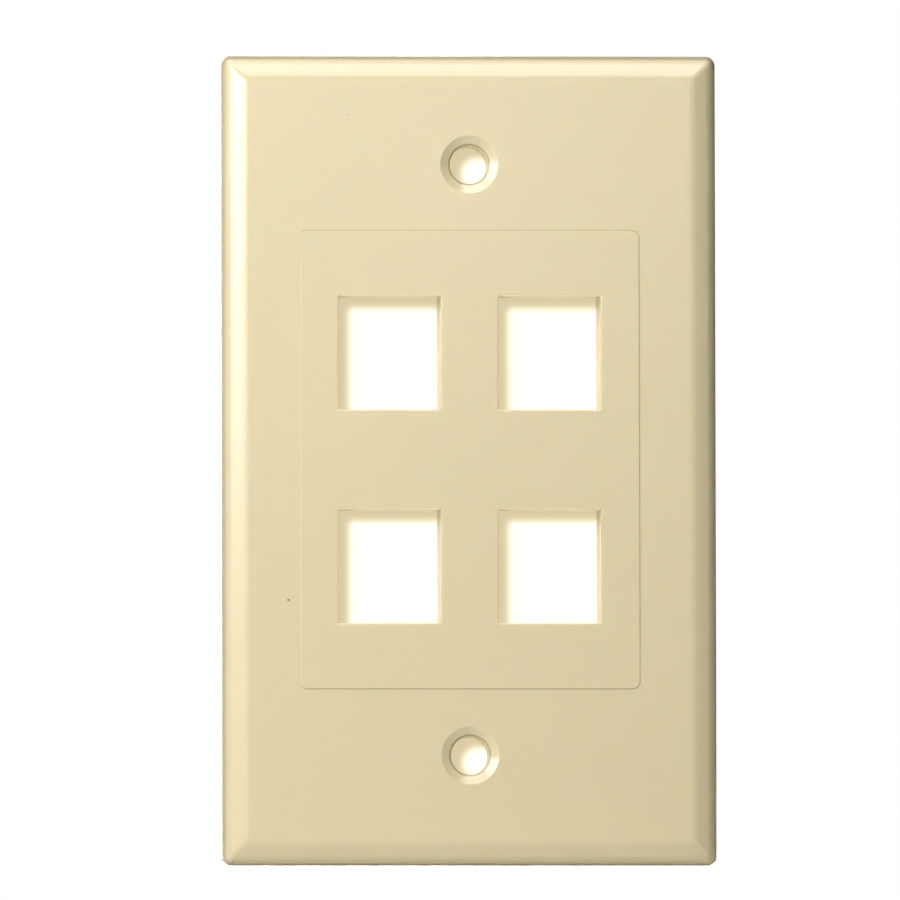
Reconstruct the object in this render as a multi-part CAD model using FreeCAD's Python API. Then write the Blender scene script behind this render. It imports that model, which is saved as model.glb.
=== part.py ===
"""Single-gang wall plate with four snap-in module ports, moulded as one piece.

Frame, in millimetres: the origin is in the wall plane, midway between the two screw holes.
+X is to the right and +Z is up, as a person facing the plate sees it. +Y runs into the wall,
so the plate's face looks along -Y and the port sockets reach back past the wall plane.
A height below is measured forward from the wall plane, along -Y, and a depth is measured
back from the plate's face, along +Y.
"""
import FreeCAD, Part

import math
import os

# Outline of the plate
plate_width = 69.85
plate_height = 114.3
plate_depth = 5.6
corner_radius = 1.35
mitre_radius = 0.5

# Section of the bevelled border: a round rim, a slightly crowned slope, a soft break to the face
rim_radius = 2.75
slope_radius = 10.3
break_radius = 2.75
rim_angle = 27.0
break_angle = 18.0

# Hollow back
skirt_thickness = 2.0
front_thickness = 2.2
knee_width = 1.7
knee_drop = 1.0
rib_thickness = 1.4
rib_setback = 1.2

# Faintly raised panel round the ports, with drafted sides
panel_side_margin = 5.5
panel_end_margin = 9.25
panel_corner_radius = 1.1
panel_rise = 0.14
panel_draft_run = 0.08

# Ports: the openings in the face
port_columns = 2
port_rows = 2
port_pitch_x = 22.55
port_pitch_z = 30.1
opening_width = 14.4
opening_height = 16.0
opening_edge_radius = 0.25

# Ports: the snap socket behind each opening, with the fixed lug's side below and the latch's above
socket_depth = 10.0
socket_wall = 1.4
lug_land = 6.5
lug_recess = 2.0
latch_land = 4.0
latch_recess = 4.0
catch_thickness = 2.0
catch_overhang = 2.0
catch_tip = 0.5

# Holes for the two oval-head plate screws
screw_spacing = 83.34
screw_hole_diameter = 5.4
screw_count = 2
countersink_diameter = 8.2
countersink_angle = 125.0
screw_lip_radius = 0.3
boss_wall = 2.2

# Working values
right_angle = 90.0
arc_steps = 10
cut_margin = 1.0
touching = 1e-6

panel_width = (port_columns - 1) * port_pitch_x + opening_width + 2 * panel_side_margin
panel_height = (port_rows - 1) * port_pitch_z + opening_height + 2 * panel_end_margin
panel_face = plate_depth + panel_rise
inner_height = plate_depth - front_thickness
root_height = plate_depth - front_thickness / 2


def centred_steps(count, pitch):
    """Positions of a row of equal steps, centred on zero."""
    return [(index - (count - 1) / 2) * pitch for index in range(count)]


def port_centres():
    """Centre of each port opening, as (x, z)."""
    columns = centred_steps(port_columns, port_pitch_x)
    rows = centred_steps(port_rows, port_pitch_z)
    return [(x, z) for z in rows for x in columns]


def rounded_rectangle(width, height, radius, y):
    """Closed outline with rounded corners, centred on the Y axis, in the plane at y."""
    half_x = width / 2 - radius
    half_z = height / 2 - radius
    centres = [(half_x, half_z), (-half_x, half_z), (-half_x, -half_z), (half_x, -half_z)]
    arcs = []
    for quarter, (centre_x, centre_z) in enumerate(centres):
        points = []
        for share in (0.0, 0.5, 1.0):
            angle = math.radians((quarter + share) * right_angle)
            x = centre_x + radius * math.cos(angle)
            z = centre_z + radius * math.sin(angle)
            points.append(FreeCAD.Vector(x, y, z))
        arcs.append(points)
    edges = []
    for index, points in enumerate(arcs):
        following = arcs[(index + 1) % len(arcs)]
        edges.append(Part.Arc(*points).toShape())
        edges.append(Part.LineSegment(points[-1], following[0]).toShape())
    return Part.Wire(edges)


def plate_outline(inset, height):
    """The plate's outline, taken in by an inset, at a height. Its corners tighten as they go in."""
    radius = max(mitre_radius, corner_radius - inset)
    return rounded_rectangle(plate_width - 2 * inset, plate_height - 2 * inset, radius, -height)


def arc_stations(radius, steep, shallow, inset, height):
    """Points along an arc of the border's section, from a steep angle to a shallow one."""
    stations = []
    for step in range(arc_steps + 1):
        angle = math.radians(steep + (shallow - steep) * step / arc_steps)
        start = math.radians(steep)
        run = radius * (math.sin(start) - math.sin(angle))
        rise = radius * (math.cos(angle) - math.cos(start))
        stations.append((inset + run, height + rise))
    return stations


def border_stations(side_height):
    """The border's section as three arcs, tangent to one another, the side and the face."""
    rim = arc_stations(rim_radius, right_angle, rim_angle, 0.0, side_height)
    slope = arc_stations(slope_radius, rim_angle, break_angle, *rim[-1])
    soft_break = arc_stations(break_radius, break_angle, 0.0, *slope[-1])
    return [rim, slope, soft_break]


def box(x_range, height_range, z_range):
    """Block between two values of x, two heights and two values of z."""
    low_x, high_x = x_range
    low_height, high_height = height_range
    low_z, high_z = z_range
    corner = FreeCAD.Vector(low_x, -high_height, low_z)
    return Part.makeBox(high_x - low_x, high_height - low_height, high_z - low_z, corner)


def cylinder(radius, height_range, x, z):
    """Round bar along Y, between two heights."""
    low_height, high_height = height_range
    start = FreeCAD.Vector(x, -high_height, z)
    return Part.makeCylinder(radius, high_height - low_height, start, FreeCAD.Vector(0, 1, 0))


def face_shell():
    """The plate's solid outer form: straight side, round rim, crowned slope and soft break."""
    drop = border_stations(0.0)[-1][-1][1]
    side_height = plate_depth - drop
    side = Part.Face(plate_outline(0.0, 0.0)).extrude(FreeCAD.Vector(0, -side_height, 0))
    bands = []
    for stations in border_stations(side_height):
        outlines = [plate_outline(inset, height) for inset, height in stations]
        bands.append(Part.makeLoft(outlines, True, False))
    return side.fuse(bands)


def hollow():
    """The space inside the back: a straight pocket whose upper edge leans in under the bevel."""
    knee_height = inner_height - knee_drop
    below = plate_outline(skirt_thickness, -cut_margin)
    pocket = Part.Face(below).extrude(FreeCAD.Vector(0, -knee_height - cut_margin, 0))
    start = plate_outline(skirt_thickness, knee_height)
    end = plate_outline(skirt_thickness + knee_width, inner_height)
    return pocket.fuse(Part.makeLoft([start, end], True, True))


def panel():
    """The raised panel, rooted in the front wall, its sides drafted from the face up."""
    narrow = 2 * panel_draft_run
    foot = rounded_rectangle(panel_width, panel_height, panel_corner_radius, -plate_depth)
    crown_radius = panel_corner_radius - panel_draft_run
    crown = rounded_rectangle(panel_width - narrow, panel_height - narrow, crown_radius, -panel_face)
    root = Part.Face(foot).extrude(FreeCAD.Vector(0, plate_depth - root_height, 0))
    return root.fuse(Part.makeLoft([foot, crown], True, True))


def extruded_profile(points, width, x):
    """Solid of a section drawn as (depth, z) points, centred on x. Depth runs back from the face."""
    low_x = x - width / 2
    corners = [FreeCAD.Vector(low_x, depth - panel_face, z) for depth, z in points]
    section = Part.Face(Part.makePolygon(corners + corners[:1]))
    return section.extrude(FreeCAD.Vector(width, 0, 0))


def socket_block(x, z):
    """Outer form of a port's socket. Its upper and lower walls step out round the recesses."""
    half = opening_height / 2 + socket_wall
    root = panel_face - root_height
    points = [
        (root, z - half),
        (lug_land - socket_wall, z - half),
        (lug_land - socket_wall, z - half - lug_recess),
        (socket_depth, z - half - lug_recess),
        (socket_depth, z + half + latch_recess),
        (latch_land - socket_wall, z + half + latch_recess),
        (latch_land - socket_wall, z + half),
        (root, z + half),
    ]
    return extruded_profile(points, opening_width + 2 * socket_wall, x)


def socket_space(x, z):
    """Clear space through a port: the opening, the two recesses and the catches behind them."""
    half = opening_height / 2
    catch_start = socket_depth - catch_thickness
    catch_ramp = catch_start + catch_tip
    low = z - half - lug_recess
    high = z + half + latch_recess
    points = [
        (-cut_margin, z - half),
        (lug_land, z - half),
        (lug_land, low),
        (catch_start, low),
        (catch_start, low + catch_overhang),
        (catch_ramp, low + catch_overhang),
        (socket_depth, low),
        (socket_depth + cut_margin, low),
        (socket_depth + cut_margin, high),
        (socket_depth, high),
        (catch_ramp, high - catch_overhang),
        (catch_start, high - catch_overhang),
        (catch_start, high),
        (latch_land, high),
        (latch_land, z + half),
        (-cut_margin, z + half),
    ]
    return extruded_profile(points, opening_width, x)


def screw_centres():
    """Height of each screw hole's centre on the plate."""
    return centred_steps(screw_count, screw_spacing)


def boss(z):
    """Round pillar behind a screw hole, from the front wall to the wall plane."""
    return cylinder(screw_hole_diameter / 2 + boss_wall, (0.0, root_height), 0.0, z)


def screw_space(z):
    """A screw's clearance hole and its countersink."""
    hole = cylinder(screw_hole_diameter / 2, (-cut_margin, plate_depth + cut_margin), 0.0, z)
    taper = math.tan(math.radians(countersink_angle / 2))
    sink_depth = (countersink_diameter - screw_hole_diameter) / 2 / taper
    mouth_radius = countersink_diameter / 2 + cut_margin * taper
    mouth = FreeCAD.Vector(0, -plate_depth - cut_margin, z)
    length = sink_depth + cut_margin
    sink = Part.makeCone(mouth_radius, screw_hole_diameter / 2, length, mouth, FreeCAD.Vector(0, 1, 0))
    return hole.fuse(sink)


def ribs():
    """Stiffening ribs that carry the sockets' outer walls on to the skirt, and tie in the bosses."""
    heights = (rib_setback, root_height)
    reach_x = (plate_width - skirt_thickness) / 2
    reach_z = (plate_height - skirt_thickness) / 2
    half = rib_thickness / 2
    wall_line = socket_wall / 2
    side_x = centred_steps(port_columns, port_pitch_x)[-1] + opening_width / 2 + wall_line
    rows = centred_steps(port_rows, port_pitch_z)
    above = opening_height / 2 + latch_recess + wall_line
    below = opening_height / 2 + lug_recess + wall_line
    top_z = rows[-1] + above
    bottom_z = rows[0] - below
    between = [(lower + above + upper - below) / 2 for lower, upper in zip(rows, rows[1:])]
    lines = []
    for z in [bottom_z] + between + [top_z]:
        lines.append(box((-reach_x, reach_x), heights, (z - half, z + half)))
    for x in (-side_x, side_x):
        lines.append(box((x - half, x + half), heights, (-reach_z, reach_z)))
    lines.append(box((-half, half), heights, (top_z, reach_z)))
    lines.append(box((-half, half), heights, (-reach_z, bottom_z)))
    return lines


def rounded_openings(solid):
    """Round the front edges of the port openings."""
    edges = []
    for edge in solid.Edges:
        middle = edge.CenterOfMass
        on_face = abs(middle.y + panel_face) < touching
        for x, z in port_centres():
            across = abs(middle.x - x) < opening_width / 2 + touching
            along = abs(middle.z - z) < opening_height / 2 + touching
            if on_face and across and along:
                edges.append(edge)
    return solid.makeFillet(opening_edge_radius, edges)


def rounded_screw_lips(solid):
    """Round the lip where each countersink meets its clearance hole."""
    edges = []
    for edge in solid.Edges:
        if not isinstance(edge.Curve, Part.Circle):
            continue
        at_lip = edge.Curve.Center.y < -inner_height
        if at_lip and abs(edge.Curve.Radius - screw_hole_diameter / 2) < touching:
            edges.append(edge)
    return solid.makeFillet(screw_lip_radius, edges)


def faceplate():
    """The whole moulding, as one solid."""
    body = face_shell().cut(hollow())
    body = body.fuse(panel())
    body = body.fuse([socket_block(x, z) for x, z in port_centres()] + ribs())
    body = body.fuse([boss(z) for z in screw_centres()])
    body = body.cut([socket_space(x, z) for x, z in port_centres()])
    body = body.cut([screw_space(z) for z in screw_centres()])
    return rounded_screw_lips(rounded_openings(body.removeSplitter()))


os.makedirs("parts", exist_ok=True)
solid = faceplate()
print("solids", len(solid.Solids), "valid", solid.isValid(), "volume mm3", round(solid.Volume, 1))
print("box", [round(value, 3) for value in (solid.BoundBox.XMin, solid.BoundBox.XMax)],
      [round(value, 3) for value in (solid.BoundBox.YMin, solid.BoundBox.YMax)],
      [round(value, 3) for value in (solid.BoundBox.ZMin, solid.BoundBox.ZMax)])
solid.exportStep("parts/faceplate.step")
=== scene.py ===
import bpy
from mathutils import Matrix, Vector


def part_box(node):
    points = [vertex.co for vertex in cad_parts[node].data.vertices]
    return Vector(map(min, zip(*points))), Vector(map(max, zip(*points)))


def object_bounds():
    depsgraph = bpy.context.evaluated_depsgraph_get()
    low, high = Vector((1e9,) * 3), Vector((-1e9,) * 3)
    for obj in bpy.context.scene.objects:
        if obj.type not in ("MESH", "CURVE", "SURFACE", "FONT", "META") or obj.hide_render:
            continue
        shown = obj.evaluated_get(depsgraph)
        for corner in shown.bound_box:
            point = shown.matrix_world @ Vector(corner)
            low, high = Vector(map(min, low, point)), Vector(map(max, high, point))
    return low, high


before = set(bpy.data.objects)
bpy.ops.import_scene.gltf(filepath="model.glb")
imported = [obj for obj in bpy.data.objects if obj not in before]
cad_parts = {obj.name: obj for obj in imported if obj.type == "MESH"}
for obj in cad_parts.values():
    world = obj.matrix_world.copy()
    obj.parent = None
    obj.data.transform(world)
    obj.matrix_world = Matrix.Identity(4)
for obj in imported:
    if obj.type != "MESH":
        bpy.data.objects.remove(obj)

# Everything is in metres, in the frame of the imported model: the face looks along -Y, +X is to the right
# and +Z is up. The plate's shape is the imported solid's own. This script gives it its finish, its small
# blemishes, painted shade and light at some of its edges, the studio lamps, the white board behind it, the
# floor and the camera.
"""Dresses the one-piece wall plate in moulded ivory plastic and sets it in a plain white studio.

Everything is in metres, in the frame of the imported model: the face looks along -Y, +X is to the
right and +Z is up. The plate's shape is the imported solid's own. This script gives it its finish,
its small blemishes, the studio lamps, the white board behind it, the floor and the camera.
"""
import logging
import math
from dataclasses import dataclass, field
from enum import Enum
from typing import Any, Mapping, Sequence, Union

import bpy
from mathutils import Quaternion, Vector

CAD_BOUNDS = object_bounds()

MILLIMETRE = 0.001

log = logging.getLogger("faceplate")

Colour = tuple[float, float, float]
Number = Union[float, "Channel"]


def mm(value: float) -> float:
    """A length given in millimetres, in metres."""
    return value * MILLIMETRE


def linear(red: int, green: int, blue: int) -> Colour:
    """A screen colour as linear light.

    Args:
        red: red, from 0 to 255.
        green: green, from 0 to 255.
        blue: blue, from 0 to 255.

    Returns:
        The same colour as three linear values from 0 to 1.
    """
    knee, slope, offset, span, power = 0.04045, 12.92, 0.055, 1.055, 2.4
    shares = [value / 255 for value in (red, green, blue)]
    return tuple(v / slope if v <= knee else ((v + offset) / span) ** power for v in shares)


class Arithmetic(Enum):
    """The operations of a Math node that the finishes use."""

    ADD = "ADD"
    SUBTRACT = "SUBTRACT"
    MULTIPLY = "MULTIPLY"
    MAXIMUM = "MAXIMUM"
    ABSOLUTE = "ABSOLUTE"
    SIGN = "SIGN"
    ROOT = "SQRT"


class Channel:
    """One output socket of a shader graph, on which arithmetic adds Math nodes."""

    def __init__(self, graph: "ShaderGraph", socket: bpy.types.NodeSocket) -> None:
        """Wraps a socket.

        Args:
            graph: the graph that the socket belongs to.
            socket: the output socket.
        """
        self.graph = graph
        self.socket = socket

    def _combine(self, operation: Arithmetic, first: Number, second: Number = 0.0) -> "Channel":
        """Adds one Math node.

        Args:
            operation: what the node does.
            first: its first value.
            second: its second value.

        Returns:
            The node's result.
        """
        return self.graph.node("ShaderNodeMath", {"operation": operation.value}, {0: first, 1: second})

    def __add__(self, other: Number) -> "Channel":
        """This value plus another."""
        return self._combine(Arithmetic.ADD, self, other)

    __radd__ = __add__

    def __sub__(self, other: Number) -> "Channel":
        """This value less another."""
        return self._combine(Arithmetic.SUBTRACT, self, other)

    def __rsub__(self, other: Number) -> "Channel":
        """Another value less this one."""
        return self._combine(Arithmetic.SUBTRACT, other, self)

    def __mul__(self, other: Number) -> "Channel":
        """This value times another."""
        return self._combine(Arithmetic.MULTIPLY, self, other)

    __rmul__ = __mul__

    def __neg__(self) -> "Channel":
        """This value with its sign turned."""
        return self._combine(Arithmetic.SUBTRACT, 0.0, self)

    def __abs__(self) -> "Channel":
        """This value without its sign."""
        return self._combine(Arithmetic.ABSOLUTE, self)

    def sign(self) -> "Channel":
        """-1 or 1, as this value is below or above zero."""
        return self._combine(Arithmetic.SIGN, self)

    def root(self) -> "Channel":
        """This value's square root."""
        return self._combine(Arithmetic.ROOT, self)

    def at_least(self, other: Number) -> "Channel":
        """The larger of this value and another."""
        return self._combine(Arithmetic.MAXIMUM, self, other)

    def ramp(self, start: float, finish: float) -> "Channel":
        """A smooth step over this value.

        Args:
            start: the value at which the step is 0.
            finish: the value at which the step is 1.

        Returns:
            The step, from 0 to 1.
        """
        settings = {"interpolation_type": "SMOOTHSTEP", "clamp": True}
        inputs = {"Value": self, "From Min": start, "From Max": finish, "To Min": 0.0, "To Max": 1.0}
        if start > finish:
            inputs.update({"From Min": finish, "From Max": start, "To Min": 1.0, "To Max": 0.0})
        return self.graph.node("ShaderNodeMapRange", settings, inputs)


class ShaderGraph:
    """The node tree of one material or of the world."""

    def __init__(self, owner: Union[bpy.types.Material, bpy.types.World]) -> None:
        """Empties the owner's node tree and keeps it.

        Args:
            owner: the material or world whose tree is built.
        """
        owner.use_nodes = True
        self.tree = owner.node_tree
        self.tree.nodes.clear()

    def node(self, kind: str, settings: Mapping[str, Any], inputs: Mapping[Any, Any],
             output: Union[int, str] = 0) -> Channel:
        """Adds a node of any kind.

        Args:
            kind: the node's type.
            settings: its options, set before its sockets.
            inputs: the value or link of each socket, by name or number.
            output: which of its outputs is wanted.

        Returns:
            The wanted output.
        """
        made = self.tree.nodes.new(kind)
        for name, value in settings.items():
            setattr(made, name, value)
        for key, value in inputs.items():
            socket = made.inputs[key]
            if isinstance(value, Channel):
                self.tree.links.new(value.socket, socket)
            else:
                socket.default_value = value
        return Channel(self, made.outputs[output])

    def position(self) -> Channel:
        """The position in the object's own space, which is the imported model's frame."""
        return self.node("ShaderNodeTexCoord", {}, {}, "Object")

    def axes(self, place: Channel) -> tuple[Channel, Channel, Channel]:
        """Splits a position.

        Args:
            place: the position.

        Returns:
            How far it lies to the right, back and up.
        """
        split = self.node("ShaderNodeSeparateXYZ", {}, {0: place})
        outputs = split.socket.node.outputs
        return Channel(self, outputs["X"]), Channel(self, outputs["Y"]), Channel(self, outputs["Z"])

    def mix_colour(self, share: Number, first: Any, second: Any) -> Channel:
        """Blends two colours.

        Args:
            share: how much of the second colour is taken.
            first: the first colour, or a channel.
            second: the second colour, or a channel.

        Returns:
            The blended colour.
        """
        inputs = {0: share, 6: self._opaque(first), 7: self._opaque(second)}
        return self.node("ShaderNodeMix", {"data_type": "RGBA"}, inputs, 2)

    def noise(self, place: Channel, size: float, detail: float = 2.0) -> Channel:
        """Soft noise around zero.

        Args:
            place: the position that it is read at.
            size: the width of its features, in metres.
            detail: how many finer layers it has.

        Returns:
            The noise, from about -0.5 to 0.5.
        """
        inputs = {"Vector": place, "Scale": 1 / size, "Detail": detail}
        return self.node("ShaderNodeTexNoise", {}, inputs, "Fac") - 0.5

    def finish(self, shader: Channel, output: str = "ShaderNodeOutputMaterial") -> None:
        """Feeds a shader to the surface of the tree's output.

        Args:
            shader: the shader.
            output: the type of the output node.
        """
        made = self.tree.nodes.new(output)
        self.tree.links.new(shader.socket, made.inputs["Surface"])

    @staticmethod
    def _opaque(colour: Any) -> Any:
        """A colour with its alpha added, or a channel as it is."""
        return colour if isinstance(colour, Channel) else (*colour, 1.0)


@dataclass(frozen=True)
class RoundedOutline:
    """A rectangle with rounded corners, centred on the plate."""

    half_width: float
    half_height: float
    corner: float

    def outside(self, across: Channel, up: Channel) -> Channel:
        """How far a position lies outside the outline.

        Args:
            across: how far it lies to the right.
            up: how far it lies up.

        Returns:
            The distance, negative inside, where it goes no lower than minus the corners' radius.
        """
        over_x = (abs(across) - (self.half_width - self.corner)).at_least(0.0)
        over_z = (abs(up) - (self.half_height - self.corner)).at_least(0.0)
        return (over_x * over_x + over_z * over_z).root() - self.corner


@dataclass(frozen=True)
class PlateLayout:
    """Where the plate's edge, panel, port openings and screw holes lie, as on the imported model."""

    edge: RoundedOutline = RoundedOutline(mm(34.925), mm(57.15), mm(1.35))
    panel: RoundedOutline = RoundedOutline(mm(24.02), mm(32.35), mm(1.1))
    port_x: float = mm(11.275)
    port_z: float = mm(15.05)
    port_half_width: float = mm(7.2)
    port_half_height: float = mm(8.0)
    hole_z: float = mm(41.67)

    def in_port(self, across: Channel, up: Channel) -> tuple[Channel, Channel]:
        """A position as seen from the middle of the nearest port.

        Args:
            across: how far it lies to the right.
            up: how far it lies up.

        Returns:
            How far it lies to the right and up from that port's middle.
        """
        return across - across.sign() * self.port_x, up - up.sign() * self.port_z


LAYOUT = PlateLayout()


@dataclass(frozen=True)
class Blemish:
    """A small flaw on the plate's face: where it is, how wide, and how strongly it darkens."""

    x: float
    z: float
    radius: float
    strength: float


@dataclass(frozen=True)
class SeamAndShade:
    """The fine dark lines at the panel's foot and in the screw holes: a mould seam along the panel's top,
    painted shade along its left and lower foot and round the screw holes' inner edge.
    """

    half_line: float = mm(0.11)
    # Strength of the seam line along the panel's top, then of the painted shade along its lower and left
    # foot.
    upper: float = 0.5
    lower: float = 0.3
    left: float = 0.15
    lip_radius: float = mm(2.86)
    lip_half_line: float = mm(0.16)
    # Strength of the painted shade round the screw holes' inner edge.
    lip: float = 0.85

    def mask(self, graph: ShaderGraph, place: Channel) -> Channel:
        """How much of the seam line or of the painted shade shows at a position.

        Args:
            graph: the material's graph.
            place: the position on the plate.

        Returns:
            A mask from 0 to the strength of the seam line or of the painted shade.
        """
        across, _, up = graph.axes(place)
        panel = LAYOUT.panel
        line = abs(panel.outside(across, up)).ramp(self.half_line, 0.0)
        inner_x, inner_z = panel.half_width - panel.corner, panel.half_height - panel.corner
        upper = up.ramp(inner_z, panel.half_height) * self.upper
        lower = up.ramp(-inner_z, -panel.half_height) * self.lower
        left = across.ramp(-inner_x, -panel.half_width) * self.left
        # The seam line along the top, painted shade along the lower and left foot.
        foot = line * upper.at_least(lower).at_least(left)
        rise = abs(up) - LAYOUT.hole_z
        from_lip = (across * across + rise * rise).root() - self.lip_radius
        # Painted shade round the screw holes' inner edge.
        return foot.at_least(abs(from_lip).ramp(self.lip_half_line, 0.0) * self.lip)


@dataclass(frozen=True)
class PaintedRimShade:
    """Painted shade along the upper and left rims, which draws a thin dark line there."""

    inner: float = mm(0.80)
    middle: float = mm(0.36)
    outer: float = mm(0.02)
    reach: float = mm(2.0)
    rim_back: float = mm(-1.0)
    rim_front: float = mm(-1.6)
    # Strengths of the painted shade on the upper and the left rim.
    upper: float = 0.65
    left: float = 0.40

    def mask(self, graph: ShaderGraph, place: Channel) -> Channel:
        """How much painted shade lies at a position.

        Args:
            graph: the material's graph.
            place: the position on the plate.

        Returns:
            A mask from 0 to the painted shade's strength.
        """
        across, back, up = graph.axes(place)
        edge = LAYOUT.edge
        inward = -edge.outside(across, up)
        band = inward.ramp(self.inner, self.middle) * inward.ramp(self.outer, self.middle)
        upper = up.ramp(edge.half_height - self.reach, edge.half_height - edge.corner) * self.upper
        left = across.ramp(self.reach - edge.half_width, edge.corner - edge.half_width) * self.left
        # Painted shade in a thin band just inside the upper and left outline.
        return band * upper.at_least(left) * back.ramp(self.rim_back, self.rim_front)


@dataclass(frozen=True)
class PortLips:
    """The rounded front edges of the port openings, with painted light on the lips above and to the left
    and painted shade on the lips to the right.
    """

    width: float = mm(0.12)
    blend: float = mm(0.06)
    front: float = mm(-5.3)
    # Strength of the painted light on the upper and left lips, then of the painted shade on the right lips.
    pale: float = 0.85
    lip_shade: float = 0.8

    def masks(self, graph: ShaderGraph, place: Channel) -> tuple[Channel, Channel]:
        """Where the lips get painted light and where they get painted shade.

        Args:
            graph: the material's graph.
            place: the position on the plate.

        Returns:
            The mask of the painted light and the mask of the painted shade.
        """
        across, back, up = graph.axes(place)
        beside, above = LAYOUT.in_port(across, up)
        half_width, half_height = LAYOUT.port_half_width, LAYOUT.port_half_height
        outside = (abs(beside) - half_width).at_least(abs(above) - half_height)
        lip = outside.ramp(self.width + self.blend, self.width)
        lip = lip * back.ramp(self.front, self.front - self.blend)
        left = beside.ramp(self.blend - half_width, -half_width)
        right = beside.ramp(half_width - self.blend, half_width)
        upper = above.ramp(half_height - self.blend, half_height)
        # Painted light on the upper and left lips, painted shade on the right lips.
        return lip * left.at_least(upper) * self.pale, lip * right * self.lip_shade


@dataclass(frozen=True)
class CoreLimits:
    """The box inside the skirt and behind the face where the mould's core formed the surface."""

    half_width: float
    half_height: float
    front: float
    blend: float = mm(0.3)

    def mask(self, graph: ShaderGraph, place: Channel) -> Channel:
        """Where a position lies on the back.

        Args:
            graph: the material's graph.
            place: the position on the plate.

        Returns:
            A mask from 0, on the face, to 1, on the back.
        """
        across, back, up = graph.axes(place)
        inside = abs(across).ramp(self.half_width + self.blend, self.half_width)
        inside = inside * abs(up).ramp(self.half_height + self.blend, self.half_height)
        return inside * back.ramp(self.front - self.blend, self.front + self.blend)


@dataclass(frozen=True)
class IvoryPlastic:
    """Semi-gloss ivory moulding: a polished face, and a duller back as the mould's core leaves it."""

    colour: Colour = linear(214, 201, 167)
    warm_colour: Colour = linear(212, 200, 165)
    speck_colour: Colour = linear(96, 80, 52)
    # Colour of the seam line and of the painted shade at the panel's foot and round the holes' inner edge.
    seam_and_shade_colour: Colour = linear(150, 134, 98)
    seam_and_shade: SeamAndShade = SeamAndShade()
    # Colour of the painted shade along the upper and left rims.
    rim_shade_colour: Colour = linear(168, 158, 130)
    rim_shade: PaintedRimShade = PaintedRimShade()
    # Colours of the painted light and of the painted shade on the ports' lips.
    painted_light_lip_colour: Colour = linear(241, 227, 190)
    painted_shade_lip_colour: Colour = linear(186, 172, 140)
    lips: PortLips = PortLips()
    roughness: float = 0.22
    core_roughness: float = 0.46
    refraction: float = 1.60
    translucency: float = 0.8
    bleed: Colour = (1.0, 0.88, 0.62)
    bleed_reach: float = mm(0.35)
    cloud_size: float = mm(26.0)
    cloud_warmth: float = 1.6
    cloud_sheen: float = 0.03
    grain_size: float = mm(0.16)
    grain_detail: float = 3.0
    grain_warmth: float = 0.25
    grain_sheen: float = 0.02
    peel_size: float = mm(1.3)
    peel_detail: float = 1.0
    peel_depth: float = mm(0.0012)
    core_grain_size: float = mm(0.35)
    core_grain_depth: float = mm(0.006)
    speck_middle: float = 0.3
    blemishes: Sequence[Blemish] = (
        Blemish(mm(-25.6), mm(-19.8), mm(0.26), 0.75),
        Blemish(mm(-17.1), mm(48.7), mm(0.20), 0.22),
        Blemish(mm(-32.8), mm(23.9), mm(0.16), 0.25),
        Blemish(mm(-33.5), mm(16.1), mm(0.14), 0.22),
    )

    def material(self, name: str, core_limits: CoreLimits) -> bpy.types.Material:
        """Builds the moulded plastic.

        Args:
            name: the material's name.
            core_limits: where the mould's core, not its polished half, formed the surface.

        Returns:
            The finished material.
        """
        made = bpy.data.materials.new(name)
        graph = ShaderGraph(made)
        place = graph.position()
        core = core_limits.mask(graph, place)
        cloud = graph.noise(place, self.cloud_size)
        grain = graph.noise(place, self.grain_size, self.grain_detail)
        warmth = (cloud * self.cloud_warmth + grain * self.grain_warmth + 0.5).ramp(0.0, 1.0)
        base = graph.mix_colour(warmth, self.colour, self.warm_colour)
        base = graph.mix_colour(self._specks(graph, place, core), base, self.speck_colour)
        # Seam line, with painted shade at the panel's foot and round the holes' inner edge.
        base = graph.mix_colour(self.seam_and_shade.mask(graph, place), base, self.seam_and_shade_colour)
        # Painted shade along the upper and left rims.
        base = graph.mix_colour(self.rim_shade.mask(graph, place), base, self.rim_shade_colour)
        # Painted light on the ports' upper and left lips, painted shade on their right lips.
        pale, lip_shade = self.lips.masks(graph, place)
        base = graph.mix_colour(pale, base, self.painted_light_lip_colour)
        base = graph.mix_colour(lip_shade, base, self.painted_shade_lip_colour)
        sheen = cloud * self.cloud_sheen + grain * self.grain_sheen + self.roughness
        inputs = {
            "Base Color": base,
            "Roughness": sheen + core * (self.core_roughness - self.roughness),
            "IOR": self.refraction,
            "Subsurface Weight": self.translucency,
            "Subsurface Radius": self.bleed,
            "Subsurface Scale": self.bleed_reach,
            "Normal": self._surface(graph, place, core),
        }
        graph.finish(graph.node("ShaderNodeBsdfPrincipled", {}, inputs, "BSDF"))
        return made

    def _specks(self, graph: ShaderGraph, place: Channel, core: Channel) -> Channel:
        """Where the blemishes darken the face.

        Args:
            graph: the material's graph.
            place: the position on the plate.
            core: the mask of the back.

        Returns:
            A mask from 0 to 1.
        """
        across, _, up = graph.axes(place)
        total: Number = 0.0
        for blemish in self.blemishes:
            run = abs(across - blemish.x).at_least(abs(up - blemish.z))
            spot = run.ramp(blemish.radius, blemish.radius * self.speck_middle)
            total = total + spot * blemish.strength
        return total * (1.0 - core)

    def _surface(self, graph: ShaderGraph, place: Channel, core: Channel) -> Channel:
        """The fine relief: a trace of orange peel on the face, spark-worn grain on the back.

        Args:
            graph: the material's graph.
            place: the position on the plate.
            core: the mask of the back.

        Returns:
            The bumped normal.
        """
        peel = graph.noise(place, self.peel_size, self.peel_detail) * (self.peel_depth / MILLIMETRE)
        rough = graph.noise(place, self.core_grain_size) * (self.core_grain_depth / MILLIMETRE)
        height = peel * (1.0 - core) + rough * core
        return graph.node("ShaderNodeBump", {}, {"Height": height, "Distance": MILLIMETRE, "Strength": 1.0})


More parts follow.
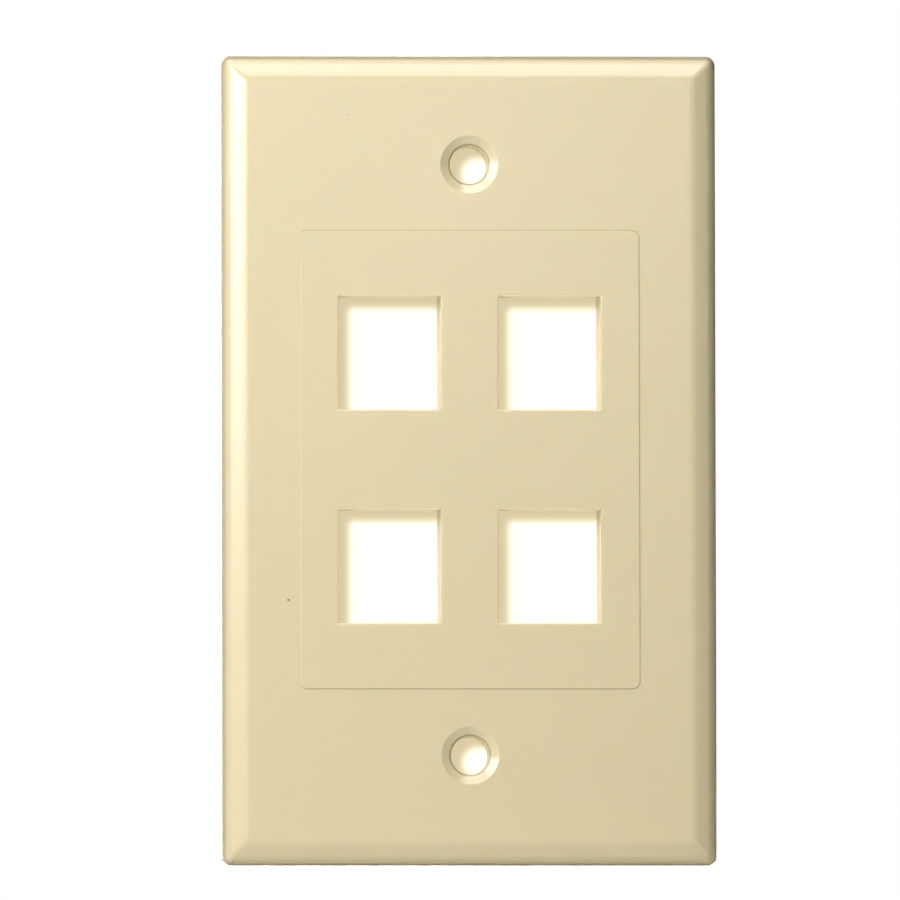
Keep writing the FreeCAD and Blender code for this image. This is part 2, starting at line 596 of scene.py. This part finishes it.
@dataclass
class Faceplate:
    """The moulded plate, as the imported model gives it, and the finish that it gets."""

    node: str = "faceplate"
    skirt: float = mm(2.0)
    front_wall: float = mm(2.2)
    panel_rise: float = mm(0.14)
    finish: IvoryPlastic = field(default_factory=IvoryPlastic)

    def dress(self) -> bpy.types.Object:
        """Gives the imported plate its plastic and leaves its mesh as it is.

        Returns:
            The plate's object.
        """
        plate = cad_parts[self.node]
        low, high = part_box(self.node)
        limits = CoreLimits(
            half_width=(high[0] - low[0]) / 2 - self.skirt,
            half_height=(high[2] - low[2]) / 2 - self.skirt,
            front=low[1] + self.panel_rise + self.front_wall,
        )
        material = self.finish.material("ivory_moulded_plastic", limits)
        plate.data.materials.clear()
        plate.data.materials.append(material)
        log.info("faceplate: %d faces, %s", len(plate.data.polygons), material.name)
        return plate


def bearing(azimuth: float, elevation: float) -> Vector:
    """The direction from the plate towards a viewer or lamp.

    Args:
        azimuth: degrees round from the front, positive to the right.
        elevation: degrees above the horizon.

    Returns:
        A unit vector.
    """
    turn, lift = math.radians(azimuth), math.radians(elevation)
    return Vector((math.sin(turn) * math.cos(lift), -math.cos(turn) * math.cos(lift), math.sin(lift)))


class LampRole(Enum):
    """What each lamp does for the picture."""

    KEY = "key_softbox"
    KEY_UPPER = "upper_key_softbox"
    KEY_LOWER = "lower_key_softbox"
    SPARK = "spark_softbox"
    WRAP = "wrap_softbox"
    FRONT = "front_softbox"
    TOP = "top_softbox"
    UNDER = "under_softbox"
    BACK_LEFT = "left_back_softbox"
    BACK_LOW = "low_back_softbox"


@dataclass(frozen=True)
class Lamp:
    """A rectangular softbox that looks at the plate's middle from a direction."""

    role: LampRole
    azimuth: float
    elevation: float
    distance: float
    width: float
    height: float
    radiance: float

    def place(self) -> bpy.types.Object:
        """Adds the lamp, hidden from the camera.

        Returns:
            The lamp's object.
        """
        data = bpy.data.lights.new(self.role.value, "AREA")
        data.shape = "RECTANGLE"
        data.size = self.width
        data.size_y = self.height
        data.energy = self.radiance * math.pi * self.width * self.height
        lamp = bpy.data.objects.new(self.role.value, data)
        bpy.context.scene.collection.objects.link(lamp)
        back = bearing(self.azimuth, self.elevation)
        lamp.location = back * self.distance
        lamp.rotation_euler = (-back).to_track_quat("-Z", "Y").to_euler()
        lamp.visible_camera = False
        log.info("lamp %s: %.2f W", lamp.name, data.energy)
        return lamp


def stage_sheet(name: str, corners: Sequence[tuple[float, float, float]],
                material: bpy.types.Material) -> bpy.types.Object:
    """Adds one flat sheet to the stage.

    Args:
        name: the sheet's name.
        corners: its corners in order.
        material: what it is made of.

    Returns:
        The sheet's object.
    """
    mesh = bpy.data.meshes.new(name)
    mesh.from_pydata(list(corners), [], [tuple(range(len(corners)))])
    mesh.materials.append(material)
    sheet = bpy.data.objects.new(name, mesh)
    bpy.context.scene.collection.objects.link(sheet)
    log.info("stage: %s", name)
    return sheet


def clear_from_behind(graph: ShaderGraph, front: Channel) -> None:
    """Finishes a stage material that is clear from behind.

    Args:
        graph: the material's graph.
        front: the shader of its front.
    """
    clear = graph.node("ShaderNodeBsdfTransparent", {}, {})
    behind = graph.node("ShaderNodeNewGeometry", {}, {}, "Backfacing")
    graph.finish(graph.node("ShaderNodeMixShader", {}, {0: behind, 1: front, 2: clear}))


@dataclass(frozen=True)
class Board:
    """The white board behind the sockets, and the soft shade that the plate's thickness leaves on it.

    The shade follows the left and upper edges of each port and the upper left rim of each screw hole.
    """

    half_width: float = mm(21.0)
    half_height: float = mm(46.5)
    gap: float = mm(0.4)
    side_offset: float = mm(0.80)
    upper_offset: float = mm(-0.05)
    fade: float = mm(2.05)
    spot_x: float = mm(1.73)
    spot_z: float = mm(-0.72)
    spot_reach: float = mm(3.40)
    hole_zone: float = mm(6.0)
    hole_zone_blend: float = mm(1.0)
    toe: float = 0.3
    shade: Colour = linear(219, 204, 164)
    light: Colour = (1.33, 1.22, 0.99)

    def build(self) -> bpy.types.Object:
        """Adds the board close behind the sockets.

        It is smaller than the plate, so the plate hides it from in front, and it is clear from behind.

        Returns:
            The board's object.
        """
        made = bpy.data.materials.new("white_board_paper")
        graph = ShaderGraph(made)
        paper = graph.mix_colour(self._lit_share(graph), self.shade, self.light)
        clear_from_behind(graph, graph.node("ShaderNodeEmission", {}, {"Color": paper, "Strength": 1.0}))
        depth = CAD_BOUNDS[1][1] + self.gap
        wide, tall = self.half_width, self.half_height
        corners = [(-wide, depth, -tall), (wide, depth, -tall), (wide, depth, tall), (-wide, depth, tall)]
        return stage_sheet("white_board", corners, made)

    def _lit_share(self, graph: ShaderGraph) -> Channel:
        """How fully each place on the board is lit.

        Args:
            graph: the board material's graph.

        Returns:
            A mask from 0, in the shade, to 1, in full light.
        """
        across, _, up = graph.axes(graph.position())
        beside, above = LAYOUT.in_port(across, up)
        from_side = beside + (LAYOUT.port_half_width - self.side_offset)
        from_top = (LAYOUT.port_half_height - self.upper_offset) - above
        ports = self._penumbra(from_side) * self._penumbra(from_top)
        spot_across = across - self.spot_x
        spot_up = up - up.sign() * LAYOUT.hole_z - self.spot_z
        from_rim = self.spot_reach - (spot_across * spot_across + spot_up * spot_up).root()
        holes = self._penumbra(from_rim)
        zone_edge = LAYOUT.hole_z - self.hole_zone
        at_hole = abs(up).ramp(zone_edge, zone_edge + self.hole_zone_blend)
        return ports * (1.0 - at_hole) + holes * at_hole

    def _penumbra(self, inside: Channel) -> Channel:
        """A soft edge of shade, with a long toe on its dark side."""
        step = inside.ramp(0.0, self.fade)
        return step * (step * (1.0 - self.toe) + self.toe)


@dataclass(frozen=True)
class Floor:
    """A pale floor, clear from below, where the photograph's camera is.

    Light passes through the strip of it that the plate's lower edge covers, as in the photograph,
    where that edge has white all round it. To the eye the floor is whole.
    """

    half: float = mm(620.0)
    gap: float = mm(0.3)
    pale: Colour = linear(246, 246, 245)
    soft: Colour = linear(242, 242, 241)
    cloud_size: float = mm(200.0)
    bounce: Colour = linear(226, 226, 224)
    strip_half_width: float = mm(37.0)
    strip_front: float = mm(-1.6)
    strip_back: float = mm(8.0)
    strip_blend: float = mm(1.0)

    def build(self) -> bpy.types.Object:
        """Adds the floor just under the plate.

        Returns:
            The floor's object.
        """
        made = bpy.data.materials.new("pale_floor")
        graph = ShaderGraph(made)
        place = graph.position()
        seen = graph.node("ShaderNodeLightPath", {}, {}, "Is Camera Ray")
        tone = graph.mix_colour(graph.noise(place, self.cloud_size) + 0.5, self.pale, self.soft)
        tone = graph.mix_colour(seen, self.bounce, tone)
        paper = graph.node("ShaderNodeBsdfDiffuse", {}, {"Color": tone})
        clear = graph.node("ShaderNodeBsdfTransparent", {}, {})
        solid = seen.at_least(self._beyond_strip(graph, place))
        clear_from_behind(graph, graph.node("ShaderNodeMixShader", {}, {0: solid, 1: clear, 2: paper}))
        level, half = CAD_BOUNDS[0][2] - self.gap, self.half
        corners = [(-half, -half, level), (half, -half, level), (half, half, level), (-half, half, level)]
        return stage_sheet("studio_floor", corners, made)

    def _beyond_strip(self, graph: ShaderGraph, place: Channel) -> Channel:
        """Where a position lies outside the open strip.

        Args:
            graph: the floor material's graph.
            place: the position on the floor.

        Returns:
            A mask from 0, in the strip, to 1, outside it.
        """
        across, back, _ = graph.axes(place)
        beside = abs(across).ramp(self.strip_half_width - self.strip_blend, self.strip_half_width)
        before = back.ramp(self.strip_front, self.strip_front - self.strip_blend)
        behind = back.ramp(self.strip_back - self.strip_blend, self.strip_back)
        return beside.at_least(before).at_least(behind)


@dataclass
class Studio:
    """The lamps, the white surroundings, the floor and the board behind the plate."""

    board: Board = Board()
    floor: Floor = Floor()
    lamps: Sequence[Lamp] = (
        Lamp(LampRole.KEY, -47.2, 11.0, 0.60, 0.173, 0.147, 11.6),
        Lamp(LampRole.WRAP, -21.0, 11.0, 0.60, 0.173, 0.147, 5.8),
        Lamp(LampRole.WRAP, -34.1, 11.0, 0.60, 0.173, 0.147, 3.9),
        Lamp(LampRole.WRAP, -61.4, 11.0, 0.60, 0.173, 0.147, 3.0),
        Lamp(LampRole.KEY_LOWER, -20.0, -3.0, 0.60, 0.293, 0.080, 0.5),
        Lamp(LampRole.KEY_UPPER, -47.5, 30.0, 0.60, 0.293, 0.187, 1.8),
        Lamp(LampRole.KEY_UPPER, -47.5, 48.0, 0.60, 0.293, 0.187, 2.0),
        Lamp(LampRole.SPARK, -46.0, 30.0, 0.60, 0.160, 0.127, 8.2),
        Lamp(LampRole.FRONT, 3.0, 14.0, 0.60, 0.100, 0.190, 1.9),
        Lamp(LampRole.TOP, -4.0, 47.2, 0.60, 0.400, 0.147, 3.25),
        Lamp(LampRole.TOP, -4.0, 61.0, 0.60, 0.400, 0.147, 5.2),
        Lamp(LampRole.TOP, -4.0, 77.3, 0.60, 0.400, 0.147, 2.7),
        Lamp(LampRole.TOP, -4.0, 95.0, 0.60, 0.400, 0.147, 1.2),
        Lamp(LampRole.UNDER, 0.0, -75.0, 0.45, 0.600, 0.600, 2.1),
        Lamp(LampRole.BACK_LEFT, -168.0, 5.0, 0.90, 0.500, 0.700, 3.0),
        Lamp(LampRole.BACK_LOW, 175.0, -12.0, 0.90, 0.700, 0.350, 3.2),
    )
    ambient: float = 0.010

    def build(self) -> None:
        """Adds the lamps and everything that stands round the plate."""
        for lamp in self.lamps:
            lamp.place()
        self._surroundings()
        self.floor.build()
        self.board.build()

    def _surroundings(self) -> None:
        """A room that is white to the eye and gives the plate only a trace of light."""
        world = bpy.data.worlds.new("studio_surroundings")
        bpy.context.scene.world = world
        graph = ShaderGraph(world)
        seen = graph.node("ShaderNodeLightPath", {}, {}, "Is Camera Ray")
        strength = seen + (1.0 - seen) * self.ambient
        white = {"Color": (1.0, 1.0, 1.0, 1.0), "Strength": strength}
        graph.finish(graph.node("ShaderNodeBackground", {}, white), "ShaderNodeOutputWorld")
        log.info("surroundings: %s", world.name)


@dataclass
class PhotoCamera:
    """The camera of the photograph: almost straight on, a little from the left and from below.

    The plate's middle falls on a given pixel of the square picture, at a given number of pixels to
    the millimetre.
    """

    azimuth: float = -3.3
    elevation: float = -3.0
    roll: float = -0.12
    distance: float = 3.20
    picture: float = 900.0
    scale: float = 7.1
    plate_x: float = 469.9
    plate_y: float = 459.6
    sensor: float = 36.0
    clip_start: float = 0.01
    clip_end: float = 20.0

    def place(self) -> bpy.types.Object:
        """Adds the camera and makes it the scene's.

        Returns:
            The camera's object.
        """
        data = bpy.data.cameras.new("photo_camera")
        data.sensor_width = self.sensor
        data.lens = self.sensor * self.distance / mm(self.picture / self.scale)
        data.clip_start = self.clip_start
        data.clip_end = self.clip_end
        camera = bpy.data.objects.new("photo_camera", data)
        bpy.context.scene.collection.objects.link(camera)
        back = bearing(self.azimuth, self.elevation)
        turn = (-back).to_track_quat("-Z", "Y") @ Quaternion((0, 0, 1), math.radians(self.roll))
        half = self.picture / 2
        to_right = turn @ Vector((mm((half - self.plate_x) / self.scale), 0, 0))
        to_top = turn @ Vector((0, mm((self.plate_y - half) / self.scale), 0))
        middle = Vector((0.0, CAD_BOUNDS[0][1], 0.0))
        camera.location = middle + to_right + to_top + back * self.distance
        camera.rotation_mode = "QUATERNION"
        camera.rotation_quaternion = turn
        bpy.context.scene.camera = camera
        log.info("camera: %.0f mm lens at %.2f m", data.lens, self.distance)
        return camera


def main() -> None:
    """Places the camera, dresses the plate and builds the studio."""
    logging.basicConfig(level=logging.INFO, format="%(name)s: %(message)s")
    bpy.context.scene.view_settings.view_transform = "Standard"
    PhotoCamera().place()
    Faceplate().dress()
    Studio().build()


if __name__ == "__main__":
    main()
